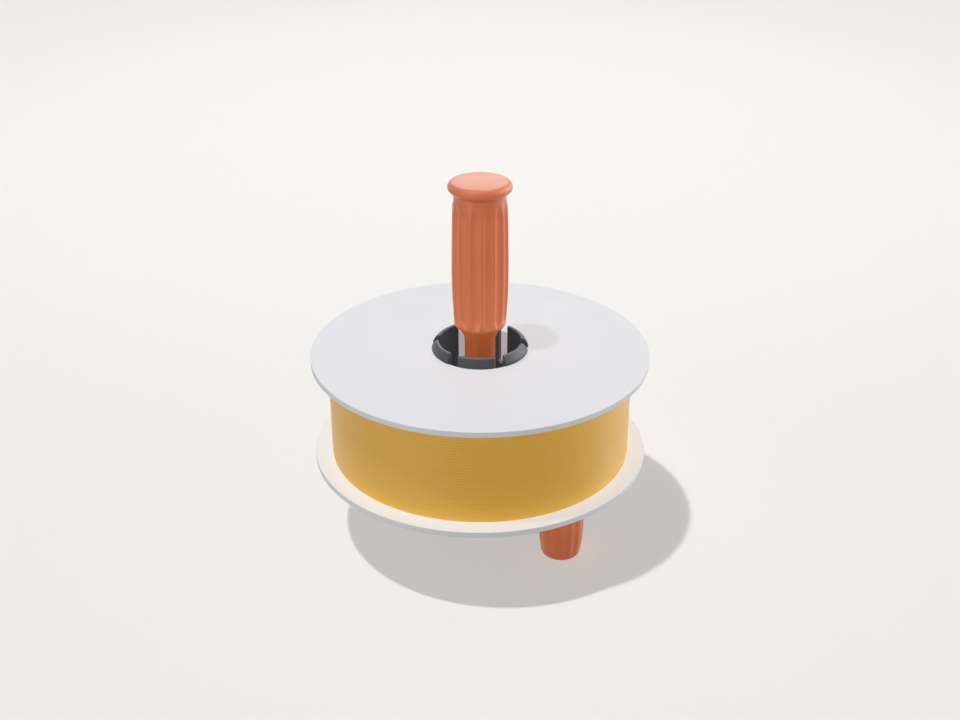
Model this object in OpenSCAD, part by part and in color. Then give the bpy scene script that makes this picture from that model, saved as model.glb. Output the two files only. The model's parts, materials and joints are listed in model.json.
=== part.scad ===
// Hand-held filament spool winder.
// A fluted handle carries a steel axle. A snap-in hub turns on the axle in two ball bearings,
// holds the spool by its bore and is driven by a crank arm with a free-spinning knob.
// The origin is the middle of the hand grip, on the axle, and +Z points to the grip's end cap.

/* [Grip] */
// Length of the grip, from its foot to the end cap
grip_len = 80; // [76:1:110]
// Radius of the fluted barrel where it is widest
grip_r = 16.55; // [16.2:0.05:17.4]
// Radius of the barrel just under the collar
grip_shoulder_r = 15.75; // [15.4:0.05:16.1]
// Radius of the barrel at its foot
grip_foot_r = 15.25; // [14.8:0.05:15.8]
// Radius of the rounded edge at the foot
grip_foot_edge_r = 1.1; // [0.6:0.1:1.5]
// Distance from the foot to the widest place
grip_widest_h = 33; // [28:1:42]
// Radius of the smooth collar under the end cap
grip_collar_r = 15; // [14:0.1:15.1]
// Height of the collar
grip_collar_h = 3.2; // [2:0.1:5]
// Height of the step from the collar to the barrel
grip_step_h = 1; // [0.5:0.1:2]
// Number of flutes round the barrel
grip_flutes = 15; // [10:1:16]
// Radius of the round bottom of a flute
grip_flute_r = 2.6; // [2:0.1:2.8]
// Depth of a flute where the barrel is widest
grip_flute_depth = 1.1; // [0.5:0.1:1.3]
// Turn of the first flute from the front, in degrees
grip_flute_turn = -1.6; // [-12:0.1:12]

/* [Neck] */
// Radius of the neck that goes down into the hub
neck_r = 9.05; // [8.2:0.05:9.6]
// Radius where the neck's cone leaves the foot of the grip
neck_cone_r = 13.6; // [11:0.1:13.6]
// Height of the cone between the foot and the neck
neck_cone_h = 7; // [3:0.1:8]
// Distance from the foot of the grip to the spool's top face
grip_to_spool = 15; // [10:0.5:30]

/* [End cap] */
// Radius of the end cap
cap_r = 18.35; // [17.5:0.05:19.5]
// Height of the end cap above the grip
cap_h = 10; // [9.2:0.1:12]
// Height of the cap's flared underside
cap_flare_h = 5.2; // [4:0.1:5.2]
// Radius of the round between the flare and the rim
cap_flare_edge_r = 0.8; // [0.4:0.1:1]
// Radius of the rounded top edge
cap_edge_r = 3.2; // [2:0.1:3.3]
// Rise of the domed top
cap_dome = 0.5; // [0.2:0.1:0.7]
// Length of the spigot that plugs into the grip
cap_spigot_l = 5.5; // [3:0.1:6.5]

/* [Axle] */
// Radius of the axle bolt
axle_r = 4; // [3.8:0.05:4]
// Width across the flats of the bolt's head and its nut
axle_hex_af = 13; // [12:0.5:13]
// Height of the bolt's head
axle_head_h = 5.3; // [4:0.1:6]
// Radius of the washer under the head
head_washer_r = 8; // [7.6:0.1:9]
// Thickness of the washer under the head
head_washer_t = 1.6; // [1:0.1:2]
// Radius of the well for the head, in the top of the grip
head_well_r = 10; // [9.5:0.1:11]
// Depth of that well
head_well_depth = 14; // [13.8:0.1:18]
// Height of the lock nut
lock_nut_h = 8; // [7:0.1:8]
// Height of the round collar on the lock nut
lock_nut_collar_h = 1.8; // [1:0.1:2.4]
// Length of the bolt's end past the nut
axle_end_l = 0.6; // [0.4:0.1:1]

/* [Bearings] */
// Outer radius of each bearing
bearing_r = 11; // [11:0.1:11.4]
// Width of each bearing
bearing_w = 7; // [7:0.1:7.6]
// Outer radius of the inner ring
inner_ring_r = 6.1; // [6:0.02:6.2]
// Inner radius of the outer ring
outer_ring_bore_r = 8.9; // [8.8:0.02:9]
// Radius of the circle of the balls
ball_circle_r = 7.5; // [7.48:0.01:7.52]
// Radius of a ball
ball_r = 1.984; // [1.95:0.002:2]
// Number of balls in a bearing
balls = 7; // [6:1:8]
// Running gap between a ball and its groove
ball_gap = 0.045; // [0.03:0.005:0.08]
// Thickness of the spacer rings beside the bearings
ring_spacer_t = 1.2; // [0.8:0.1:1.4]
// Outer radius of the spacers on the axle
ring_spacer_r = 5.9; // [5.4:0.1:5.9]

/* [Hub] */
// Outer radius of the hub, inside the spool's bore
hub_r = 26.95; // [26.2:0.05:27]
// Thickness of the hub's wall and claws
hub_wall = 2.7; // [2.2:0.1:3]
// Height of the hub's rim above the spool's top face
rim_h = 6; // [5:0.1:9]
// Depth of the slots between the claws, from the spool's top face to the middle of their round ends
finger_depth = 17.65; // [14:0.05:19]
// Height of a claw's foot, below the ends of the slots
claw_foot_h = 1.2; // [0.6:0.1:2]
// Width of the slots
slot_w = 6.1; // [4:0.1:7]
// Reach of a claw's hook over the spool's flange
hook_reach = 1.65; // [1.2:0.05:2.5]
// Height of the hook's straight edge
hook_edge_h = 1.85; // [0.8:0.05:2.5]
// Gap between a hook and the spool's top face
hook_gap = 0.25; // [0.1:0.05:0.5]
// Reach of the sloping lead-in at the top of a claw, past the hub's outer radius
hook_tip_reach = 0.75; // [0.2:0.05:1.1]
// Radius of the round at the hook's lower edge
hook_edge_r = 0.5; // [0.2:0.05:0.7]
// Radius of the rounded edges of the rim
rim_edge_r = 0.45; // [0.2:0.05:0.8]
// Radius of the flange that the spool sits on
base_r = 36; // [33:0.5:45]
// Thickness of that flange
base_t = 4; // [3:0.1:6]
// Radius of the rounded edge of the flange
base_edge_r = 1; // [0.5:0.1:1.4]
// Wall of the bearing tube
bearing_tube_wall = 2.7; // [2.2:0.1:3.2]
// Distance from the spool's top face to the top of the bearing tube
bearing_tube_drop = 26; // [25:0.5:32]
// Depth of the upper bearing below the top of its tube
upper_recess = 1; // [1:0.1:2]
// Depth of the lower bearing above the underside of the flange
lower_recess = 3.6; // [3:0.1:4]
// Thickness of the ribs between the bearing tube and the wall
rib_t = 2.2; // [1.6:0.1:3]
// Number of ribs
ribs = 6; // [4:2:8]
// Turn of the hub from the front, in degrees
hub_turn = -5.2; // [-180:0.1:180]

/* [Crank] */
// Distance from the axle to the knob's pin
crank_r = 60; // [56:0.5:80]
// Thickness of the crank arm
arm_t = 8; // [7.2:0.1:9]
// Radius of the arm's round end on the hub
arm_hub_r = 26; // [25:0.5:30]
// Radius of the arm's round end at the knob
arm_end_r = 11; // [10:0.5:14]
// Width of the rim round the pockets in the arm
arm_rim = 3; // [2:0.1:4]
// Depth of the pockets
arm_pocket_depth = 5; // [3:0.1:5.5]
// Radius of the circle of the arm's screws
arm_screw_circle_r = 19; // [18.6:0.1:19.4]
// Radius of an arm screw
arm_screw_r = 2; // [1.5:0.05:2]
// Length of an arm screw
arm_screw_l = 18; // [14:0.5:24]
// Radius of the boss round an arm screw
arm_boss_r = 4; // [3.4:0.1:4]
// Height of those bosses above the flange
arm_boss_h = 16; // [14:0.5:22]
// Thickness of the dust cap's face
dust_cap_t = 1.8; // [1.2:0.1:2.4]
// Radius of the dust cap
dust_cap_r = 13.5; // [12.5:0.1:14]
// Depth of the dust cap's rim in the arm
dust_cap_rim_h = 1.8; // [1:0.1:2.2]

/* [Knob] */
// Length of the knob
knob_len = 39.7; // [34:0.1:60]
// Radius of the knob where it is widest
knob_r = 13.3; // [12.9:0.05:15]
// Radius of the knob at its two ends
knob_end_r = 11.9; // [11.2:0.05:12.5]
// Radius of the knob's rounded edges
knob_edge_r = 1.2; // [0.6:0.1:1.5]
// Number of flutes round the knob
knob_flutes = 10; // [8:1:12]
// Radius of the round bottom of a flute in the knob
knob_flute_r = 3; // [2.4:0.1:3.2]
// Depth of a flute in the knob
knob_flute_depth = 0.9; // [0.4:0.1:1.2]
// Turn of the first flute from the front, in degrees
knob_flute_turn = 14; // [-18:0.5:18]
// Radius of the knob's pin
pin_r = 4; // [3.5:0.05:4]
// Radius of the pin's head
pin_head_r = 7; // [6.4:0.1:7.2]
// Height of the pin's head
pin_head_h = 4; // [3:0.1:5]
// Radius of the pin's threaded end
pin_thread_r = 3; // [2.5:0.05:3]
// Height of the nut on the pin
pin_nut_h = 5; // [4:0.1:5]
// Width across the flats of that nut
pin_nut_af = 10; // [9:0.5:10]
// Radius of the washer between the arm and the knob
knob_washer_r = 8.5; // [7.5:0.1:9]
// Thickness of that washer
knob_washer_t = 1; // [0.8:0.1:1.6]
// Outer radius of the knob's bushes
bush_r = 6; // [5.4:0.1:6]
// Length of a bush without its flange
bush_l = 9; // [6:0.5:12]
// Radius of a bush's flange
bush_flange_r = 7.8; // [7:0.1:7.8]
// Thickness of a bush's flange
bush_flange_t = 1; // [0.8:0.1:1.5]
// Radius of the well in the knob's free end
knob_well_r = 8.2; // [8:0.1:8.4]
// Thickness of the plug that closes the well
knob_plug_t = 2.2; // [1.6:0.1:3]
// Free height between the pin's head and the plug
knob_plug_gap = 0.6; // [0.4:0.1:1.5]

/* [Spool] */
// Radius of the spool's flanges
spool_r = 100; // [95:0.5:105]
// Width of the spool over both flanges
spool_w = 66.64; // [62:0.1:75]
// Thickness of a flange
flange_t = 3.5; // [2.5:0.1:5]
// Gap between the hub and the spool's bore
bore_gap = 0.3; // [0.2:0.05:0.6]
// Radius of the drum that the filament is wound on
drum_r = 50; // [42:0.5:60]
// Wall of the drum
drum_wall = 2.4; // [1.6:0.1:3.5]
// Wall of the tube round the bore
bore_wall = 2.2; // [1.6:0.1:3]
// Number of webs between the tube and the drum
webs = 8; // [6:1:12]
// Thickness of a web
web_t = 1.8; // [1.2:0.1:3]
// Depth of the grooves in the flanges that the drum sits in
groove_depth = 1.2; // [0.6:0.1:1.6]

/* [Filament] */
// Radius of the wound filament
wound_r = 90; // [80:0.5:93]
// Diameter of the filament
filament_d = 1.75; // [1.6:0.05:1.75]
// Number of turns shown in the outer layer
wound_turns = 24; // [16:1:24]
// Gap between the filament and the flanges
wound_edge_gap = 0.45; // [0.45:0.05:1]
// Radius of the bend at the two ends of the outer layer
wound_bend_r = 2.2; // [1.8:0.1:3]

/* [Hidden] */
$fn = 96;
// Overrun of every cut past the face that it opens
over = 2;
// Gap between parts that are pushed together, and between a screw and its hole
push_gap = 0.05;
// Gap round the axle in the grip and the spacers
axle_gap = 0.1;
// Gap round a turning pin
turn_gap = 0.06;
// End play between turning faces
end_play = 0.15;
// Gap between the spool and the hub's flange that it rests on
rest_gap = 0.02;
// Points of an outline closer than this are one point
same_point = 0.001;
// Steps in a curved stretch of an outline
curve_steps = 12;
// Steps in a small round
edge_steps = 6;

// Heights along the axle
grip_top_z = grip_len / 2;
grip_foot_z = -grip_len / 2;
grip_widest_z = grip_foot_z + grip_widest_h;
grip_shoulder_z = grip_top_z - grip_collar_h - grip_step_h;
spool_top_z = grip_foot_z - grip_to_spool;
spool_bottom_z = spool_top_z - spool_w;
base_bottom_z = spool_bottom_z - base_t;
base_top_z = spool_bottom_z - rest_gap;
tube_top_z = spool_top_z - bearing_tube_drop;
upper_bearing_z = tube_top_z - upper_recess - bearing_w;
lower_bearing_z = base_bottom_z + lower_recess;
neck_foot_z = upper_bearing_z + bearing_w + ring_spacer_t;
slot_end_z = spool_top_z - finger_depth;
rim_z = spool_top_z + rim_h;
arm_bottom_z = base_bottom_z - arm_t;
lock_nut_z = lower_bearing_z - ring_spacer_t - lock_nut_h;
axle_end_z = lock_nut_z - axle_end_l;
head_seat_z = grip_top_z - head_well_depth;
head_z = head_seat_z + head_washer_t;
knob_top_z = arm_bottom_z - knob_washer_t - end_play - bush_flange_t;
knob_bottom_z = knob_top_z - knob_len;
knob_well_z = knob_bottom_z + knob_plug_t + knob_plug_gap + pin_head_h + end_play + bush_flange_t;
pin_head_z = knob_well_z - bush_flange_t - end_play - pin_head_h;

// Radii and angles
sides_of_hex = 6;
hex_share = 1 / cos(180 / sides_of_hex);
axle_hex_r = axle_hex_af / 2 * hex_share;
pin_nut_r = pin_nut_af / 2 * hex_share;
hub_bore_r = hub_r - hub_wall;
seat_r = bearing_r + push_gap / 2;
bearing_tube_r = seat_r + bearing_tube_wall;
shoulder_r = (bearing_r + outer_ring_bore_r) / 2;
nut_well_r = seat_r;
spool_bore_r = hub_r + bore_gap;
finger_pitch = 60;
slot_end_r = slot_w / 2 + push_gap;
claw_foot_z = slot_end_z - slot_end_r - claw_foot_h;
fingers = 360 / finger_pitch;
crank_turn = hub_turn + finger_pitch;
strand_r = wound_r - filament_d / 2;

// Bearing details, as sizes of the bearing that carries them
groove_r = ball_r + ball_gap;
shield_t_share = 0.045;
shield_t = bearing_w * shield_t_share;
shield_inset = shield_t;
shield_step_share = 0.28;
shield_step = (bearing_r - outer_ring_bore_r) * shield_step_share;
shield_gap = ball_gap;
cage_thin_share = 0.75;
cage_r = ball_circle_r + ball_r * cage_thin_share / 2;
cage_bore_r = ball_circle_r - ball_r * cage_thin_share / 2;
cage_low_share = 1.3;
cage_high_share = 0.4;

// Outer layer of the wound filament: a helix with both ends turned in to the layer below
rings_per_turn = 24;
strand_sides = 6;
bend_steps = 3;
strand_reach_z = spool_w / 2 - flange_t - wound_edge_gap - filament_d / 2;
strand_pitch = 2 * strand_reach_z / wound_turns;
spool_mid_z = (spool_top_z + spool_bottom_z) / 2;
strand_end_turn = 180;
helix_rings = wound_turns * rings_per_turn;
end_r = strand_r - wound_bend_r - filament_d;
// Filament below the outer layer, kept inside the flats between the rings of a turn
wound_core_r = strand_r * cos(180 / rings_per_turn) - filament_d / 2 - push_gap;

// Points of an arc in an outline
function arc(cx, cz, r, a0, a1, steps) = [
    for (i = [0 : steps]) [
        cx + r * cos(a0 + (a1 - a0) * i / steps),
        cz + r * sin(a0 + (a1 - a0) * i / steps)
    ]
];

// Half of a barrel's outline: a parabola from the widest place to one end
function half_barrel(r_mid, r_end, z_mid, z_end, steps) = [
    for (i = [0 : steps]) [
        r_mid - (r_mid - r_end) * i * i / steps / steps,
        z_mid + (z_end - z_mid) * i / steps
    ]
];

function reversed(points) = [for (i = [len(points) - 1 : -1 : 0]) points[i]];

function unit(v) = v / norm(v);

// Points of a round at corner b of an outline, between the sides that lead to a and to c
function corner_round(a, b, c, r, steps) =
    let (u = unit(a - b), v = unit(c - b))
    let (half = acos(u * v) / 2)
    let (centre = b + unit(u + v) * r / sin(half))
    let (start = b + u * r / tan(half) - centre)
    let (first = atan2(start[1], start[0]))
    let (turn = (180 - 2 * half) * sign(cross(b - a, c - b)))
    arc(centre[0], centre[1], r, first, first + turn, steps);

// An outline without the points that two stretches share
function joined(points) = [
    for (i = [0 : len(points) - 1])
    if (i == 0 || norm(points[i] - points[i - 1]) > same_point) points[i]
];

// A plain ring
module ring(r_out, r_in, z, h) {
    translate([0, 0, z])
    difference() {
        cylinder(r = r_out, h = h);
        translate([0, 0, -over]) cylinder(r = r_in, h = h + 2 * over);
    }
}

// Straight round-bottomed cuts round a barrel, which run out where the barrel narrows
module flute_cuts(count, r, depth, barrel_r, z_low, z_high, first_turn) {
    for (i = [0 : count - 1])
        rotate([0, 0, first_turn + 360 * i / count])
        translate([0, -(barrel_r - depth + r), z_low])
        cylinder(r = r, h = z_high - z_low);
}

// A hexagon with its corners turned off at both faces
module hex_prism(r, h, z) {
    corner = r * (1 - 1 / hex_share);
    translate([0, 0, z])
    intersection() {
        cylinder(r = r, h = h, $fn = sides_of_hex);
        rotate_extrude()
        polygon([
            [0, 0], [r - corner, 0], [r + corner, corner],
            [r + corner, h - corner], [r - corner, h], [0, h]
        ]);
    }
}

module grip_body() {
    color("tomato")
    difference() {
        rotate_extrude()
        polygon(joined(concat(
            [[axle_r + axle_gap, grip_top_z], [grip_collar_r, grip_top_z]],
            [[grip_collar_r, grip_top_z - grip_collar_h]],
            reversed(half_barrel(grip_r, grip_shoulder_r, grip_widest_z, grip_shoulder_z, curve_steps)),
            half_barrel(grip_r, grip_foot_r, grip_widest_z, grip_foot_z + grip_foot_edge_r, curve_steps),
            arc(grip_foot_r - grip_foot_edge_r, grip_foot_z + grip_foot_edge_r, grip_foot_edge_r,
                0, -90, edge_steps),
            [[neck_cone_r, grip_foot_z], [neck_r, grip_foot_z - neck_cone_h]],
            [[neck_r, neck_foot_z], [axle_r + axle_gap, neck_foot_z]]
        )));
        translate([0, 0, head_seat_z]) cylinder(r = head_well_r, h = head_well_depth + over);
        flute_cuts(grip_flutes, grip_flute_r, grip_flute_depth, grip_r,
            grip_foot_z - over, grip_top_z - grip_collar_h, grip_flute_turn);
    }
}

module grip_end_cap() {
    flat_r = cap_r - cap_edge_r;
    dome_r = (flat_r * flat_r + cap_dome * cap_dome) / (2 * cap_dome);
    dome_angle = asin(flat_r / dome_r);
    edge_z = grip_top_z + cap_h - cap_dome - cap_edge_r;
    flare_angle = atan((cap_r - grip_collar_r) / cap_flare_h);
    color("tomato")
    rotate_extrude()
    polygon(joined(concat(
        [[0, grip_top_z - cap_spigot_l], [head_well_r - push_gap, grip_top_z - cap_spigot_l]],
        [[head_well_r - push_gap, grip_top_z], [grip_collar_r, grip_top_z]],
        arc(cap_r - cap_flare_edge_r, grip_top_z + cap_flare_h, cap_flare_edge_r,
            -flare_angle, 0, edge_steps),
        arc(flat_r, edge_z, cap_edge_r, 0, 90, curve_steps),
        reversed(arc(0, grip_top_z + cap_h - dome_r, dome_r, 90, 90 - dome_angle, edge_steps))
    )));
}

module axle_bolt() {
    color("silver")
    union() {
        translate([0, 0, axle_end_z]) cylinder(r = axle_r, h = head_z - axle_end_z + axle_head_h / 2);
        hex_prism(axle_hex_r, axle_head_h, head_z);
    }
}

module head_washer() {
    color("silver") ring(head_washer_r, axle_r + axle_gap, head_seat_z, head_washer_t);
}

module upper_ring_spacer() {
    color("gainsboro")
    ring(ring_spacer_r, axle_r + axle_gap, upper_bearing_z + bearing_w, ring_spacer_t);
}

module bearing_spacer_tube() {
    low = lower_bearing_z + bearing_w;
    color("gainsboro") ring(ring_spacer_r, axle_r + axle_gap, low, upper_bearing_z - low);
}

module lower_ring_spacer() {
    color("gainsboro")
    ring(ring_spacer_r, axle_r + axle_gap, lower_bearing_z - ring_spacer_t, ring_spacer_t);
}

module lock_nut() {
    hex_h = lock_nut_h - lock_nut_collar_h;
    collar_r = (axle_hex_af / 2 + axle_r) / 2;
    color("silver")
    difference() {
        union() {
            hex_prism(axle_hex_r, hex_h, lock_nut_z + lock_nut_collar_h);
            translate([0, 0, lock_nut_z]) cylinder(r = collar_r, h = lock_nut_h - hex_h / 2);
        }
        translate([0, 0, lock_nut_z - over]) cylinder(r = axle_r + push_gap, h = lock_nut_h + 2 * over);
    }
}

// Parts of a ball bearing whose lower face is at z
module inner_ring(z) {
    color("lightsteelblue")
    difference() {
        ring(inner_ring_r, axle_r + push_gap / 2, z, bearing_w);
        ball_groove(z);
    }
}

module outer_ring(z) {
    color("lightsteelblue")
    difference() {
        ring(bearing_r, outer_ring_bore_r, z, bearing_w);
        ball_groove(z);
        for (side_z = [z - over, z + bearing_w - shield_t - shield_inset])
            translate([0, 0, side_z])
            cylinder(r = outer_ring_bore_r + shield_step, h = shield_t + shield_inset + over);
    }
}

module ball_groove(z) {
    translate([0, 0, z + bearing_w / 2])
    rotate_extrude()
    translate([ball_circle_r, 0]) circle(r = groove_r);
}

module bearing_shields(z) {
    shield_r = outer_ring_bore_r + shield_step - push_gap / 2;
    color("slategray") {
        for (shield_z = [z + shield_inset, z + bearing_w - shield_inset - shield_t])
            ring(shield_r, inner_ring_r + shield_gap, shield_z, shield_t);
    }
}

module bearing_balls(z) {
    color("whitesmoke") {
        for (i = [0 : balls - 1])
            rotate([0, 0, 360 * i / balls])
            translate([0, -ball_circle_r, z + bearing_w / 2])
            sphere(r = ball_r);
    }
}

module bearing_cage(z) {
    color("goldenrod")
    difference() {
        ring(cage_r, cage_bore_r, z + bearing_w / 2 - ball_r * cage_low_share,
            ball_r * (cage_low_share + cage_high_share));
        for (i = [0 : balls - 1])
            rotate([0, 0, 360 * i / balls])
            translate([0, -ball_circle_r, z + bearing_w / 2])
            sphere(r = groove_r);
    }
}

module upper_inner_ring() { inner_ring(upper_bearing_z); }
module lower_inner_ring() { inner_ring(lower_bearing_z); }
module upper_outer_ring() { outer_ring(upper_bearing_z); }
module lower_outer_ring() { outer_ring(lower_bearing_z); }
module upper_bearing_shields() { bearing_shields(upper_bearing_z); }
module lower_bearing_shields() { bearing_shields(lower_bearing_z); }
module upper_bearing_balls() { bearing_balls(upper_bearing_z); }
module lower_bearing_balls() { bearing_balls(lower_bearing_z); }
module upper_bearing_cage() { bearing_cage(upper_bearing_z); }
module lower_bearing_cage() { bearing_cage(lower_bearing_z); }

// Slots between the fingers, with round ends that are a touch wider than the slots
module slot_cuts() {
    for (i = [0 : fingers - 1])
        rotate([0, 0, finger_pitch * (i + 1 / 2)])
        translate([0, -hub_bore_r / 2, slot_end_z]) {
            translate([-slot_w / 2, -hub_r, 0]) cube([slot_w, hub_r, finger_depth + rim_h + over]);
            rotate([90, 0, 0]) cylinder(r = slot_end_r, h = hub_r);
        }
}

module hub_body() {
    arc_gap = finger_pitch * 2;
    rib_in_r = (seat_r + bearing_tube_r) / 2;
    rib_out_r = hub_r - hub_wall / 2;
    rib_top_z = tube_top_z - upper_recess;
    rib_low_z = rib_top_z - (rib_out_r - rib_in_r) / 2;
    color("dimgray")
    rotate([0, 0, hub_turn])
    difference() {
        union() {
            rotate_extrude()
            polygon(concat(
                corner_round([hub_r, rim_z], [hub_bore_r, rim_z], [hub_bore_r, base_top_z],
                    rim_edge_r, edge_steps),
                [[hub_bore_r, base_top_z], [bearing_tube_r, base_top_z]],
                [[bearing_tube_r, tube_top_z], [seat_r, tube_top_z]],
                [[seat_r, upper_bearing_z], [shoulder_r, upper_bearing_z]],
                [[shoulder_r, lower_bearing_z + bearing_w], [seat_r, lower_bearing_z + bearing_w]],
                [[seat_r, base_bottom_z]],
                arc(base_r - base_edge_r, base_bottom_z + base_edge_r, base_edge_r, -90, 0, edge_steps),
                arc(base_r - base_edge_r, base_top_z - base_edge_r, base_edge_r, 0, 90, edge_steps),
                [[hub_r, base_top_z]],
                corner_round([hub_r, base_top_z], [hub_r, rim_z], [hub_bore_r, rim_z],
                    rim_edge_r, edge_steps)
            ));
            for (i = [0 : ribs - 1])
                rotate([0, 0, 360 * (i + 1 / 2) / ribs])
                rotate([90, 0, 90])
                translate([0, 0, -rib_t / 2])
                linear_extrude(height = rib_t)
                polygon([
                    [-rib_in_r, base_bottom_z + base_t / 2], [-rib_out_r, base_bottom_z + base_t / 2],
                    [-rib_out_r, rib_low_z], [-rib_in_r, rib_top_z]
                ]);
            arm_screw_places()
                translate([0, 0, spool_bottom_z - base_t / 2])
                cylinder(r = arm_boss_r, h = arm_boss_h + base_t / 2);
        }
        for (side = [90, 270])
            rotate([0, 0, side - arc_gap / 2 - 90])
            rotate_extrude(angle = arc_gap)
            translate([hub_bore_r - over, claw_foot_z])
            square([hub_wall + 2 * over, rim_z - claw_foot_z + over]);
        slot_cuts();
        arm_screw_places()
            translate([0, 0, base_bottom_z - over])
            cylinder(r = arm_screw_r + push_gap, h = over + arm_screw_l - arm_t + base_t / 2);
    }
}

// Places of the arm's screws, midway between ribs
module arm_screw_places() {
    for (i = [0 : ribs / 2 - 1])
        rotate([0, 0, 360 * (i * 2 + 1) / ribs])
        translate([0, -arm_screw_circle_r, 0])
        children();
}

// A finger with a hook over the spool's flange, and its turn round the hub
module snap_claw(turn) {
    tip_r = hub_r + hook_tip_reach;
    hook_r = hub_r + hook_reach;
    hook_z = spool_top_z + hook_gap;
    hook_top_z = hook_z + hook_edge_h;
    color("dimgray")
    rotate([0, 0, hub_turn])
    difference() {
        rotate([0, 0, turn - finger_pitch / 2 - 90])
        rotate_extrude(angle = finger_pitch)
        polygon(concat(
            [[hub_bore_r, claw_foot_z], [hub_r, claw_foot_z], [hub_r, hook_z]],
            corner_round([hub_r, hook_z], [hook_r, hook_z], [hook_r, hook_top_z], hook_edge_r, edge_steps),
            [[hook_r, hook_top_z]],
            corner_round([hook_r, hook_top_z], [tip_r, rim_z], [hub_bore_r, rim_z], rim_edge_r, edge_steps),
            corner_round([tip_r, rim_z], [hub_bore_r, rim_z], [hub_bore_r, claw_foot_z],
                rim_edge_r, edge_steps)
        ));
        slot_cuts();
    }
}

module snap_claw_front_right() { snap_claw(finger_pitch); }
module snap_claw_back_right() { snap_claw(finger_pitch * 2); }
module snap_claw_back_left() { snap_claw(finger_pitch * 4); }
module snap_claw_front_left() { snap_claw(finger_pitch * 5); }

// Half-width of the crank arm at a distance from the axle, between its two round ends
arm_slope = asin((arm_hub_r - arm_end_r) / crank_r);
function arm_half(s) = (arm_hub_r - s * sin(arm_slope)) / cos(arm_slope);

module arm_plate() {
    near = arm_hub_r * sin(arm_slope);
    far = crank_r + arm_end_r * sin(arm_slope);
    // The straight sides start just inside the round ends
    near_half = arm_half(near) - push_gap;
    far_half = arm_half(far) - push_gap;
    union() {
        cylinder(r = arm_hub_r, h = arm_t);
        translate([0, -crank_r, 0]) cylinder(r = arm_end_r, h = arm_t);
        linear_extrude(height = arm_t)
        polygon([[near_half, -near], [far_half, -far], [-far_half, -far], [-near_half, -near]]);
    }
}

// Two pockets in the underside, with a rib between them
module arm_pockets() {
    near = arm_hub_r + arm_rim;
    far = crank_r - arm_end_r - arm_rim / 2;
    side = arm_rim / cos(arm_slope);
    for (way = [-1, 1])
        linear_extrude(height = arm_pocket_depth + over)
        polygon([
            [way * arm_rim / 2, -near], [way * (arm_half(near) - side), -near],
            [way * (arm_half(far) - side), -far], [way * arm_rim / 2, -far]
        ]);
}

module crank_arm() {
    head_r = arm_screw_r * 2;
    color("dimgray")
    difference() {
        rotate([0, 0, crank_turn])
        difference() {
            translate([0, 0, arm_bottom_z]) arm_plate();
            translate([0, 0, arm_bottom_z - over]) arm_pockets();
            translate([0, -crank_r, arm_bottom_z - over])
            cylinder(r = pin_thread_r + push_gap, h = arm_t + 2 * over);
            translate([0, -crank_r, base_bottom_z - pin_nut_h - push_gap])
            cylinder(r = pin_nut_r + push_gap, h = pin_nut_h + push_gap + over, $fn = sides_of_hex);
        }
        translate([0, 0, arm_bottom_z - over]) cylinder(r = nut_well_r, h = arm_t + 2 * over);
        rotate([0, 0, hub_turn])
        arm_screw_places() {
            translate([0, 0, arm_bottom_z - over])
            cylinder(r = arm_screw_r + push_gap, h = arm_t + 2 * over);
            translate([0, 0, arm_bottom_z])
            rotate_extrude()
            polygon([[0, -over], [head_r + push_gap, -over], [head_r + push_gap, 0], [0, head_r + push_gap]]);
        }
    }
}

module arm_screws() {
    head_r = arm_screw_r * 2;
    color("silver")
    rotate([0, 0, hub_turn])
    arm_screw_places()
        translate([0, 0, arm_bottom_z])
        rotate_extrude()
        polygon([
            [0, 0], [head_r, 0], [arm_screw_r, head_r - arm_screw_r],
            [arm_screw_r, arm_screw_l - arm_screw_r / 2], [arm_screw_r / 2, arm_screw_l], [0, arm_screw_l]
        ]);
}

// Cover over the lock nut: a disc with a rim that pushes into the arm
module dust_cap() {
    rim_r = nut_well_r - push_gap;
    color("dimgray")
    rotate_extrude()
    polygon([
        [0, arm_bottom_z - dust_cap_t], [dust_cap_r - dust_cap_t / 2, arm_bottom_z - dust_cap_t],
        [dust_cap_r, arm_bottom_z - dust_cap_t / 2], [dust_cap_r, arm_bottom_z], [rim_r, arm_bottom_z],
        [rim_r, arm_bottom_z + dust_cap_rim_h], [rim_r - dust_cap_t, arm_bottom_z + dust_cap_rim_h],
        [rim_r - dust_cap_t, arm_bottom_z], [0, arm_bottom_z]
    ]);
}

// Everything on the knob's own axis
module at_knob() {
    rotate([0, 0, crank_turn])
    translate([0, -crank_r, 0])
    children();
}

module knob_pin() {
    thread_top_z = base_bottom_z - push_gap;
    color("silver")
    at_knob()
        rotate_extrude()
        polygon(concat(
            [[0, pin_head_z], [pin_head_r - pin_head_h / 4, pin_head_z]],
            [[pin_head_r, pin_head_z + pin_head_h / 4], [pin_head_r, pin_head_z + pin_head_h]],
            [[pin_r, pin_head_z + pin_head_h], [pin_r, arm_bottom_z], [pin_thread_r, arm_bottom_z]],
            [[pin_thread_r, thread_top_z], [0, thread_top_z]]
        ));
}

module knob_pin_nut() {
    color("silver")
    at_knob()
        difference() {
            hex_prism(pin_nut_r, pin_nut_h, base_bottom_z - pin_nut_h);
            translate([0, 0, base_bottom_z - pin_nut_h - over])
            cylinder(r = pin_thread_r + push_gap, h = pin_nut_h + 2 * over);
        }
}

module knob_washer() {
    color("silver")
    at_knob() ring(knob_washer_r, pin_r + turn_gap, arm_bottom_z - knob_washer_t, knob_washer_t);
}

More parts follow.
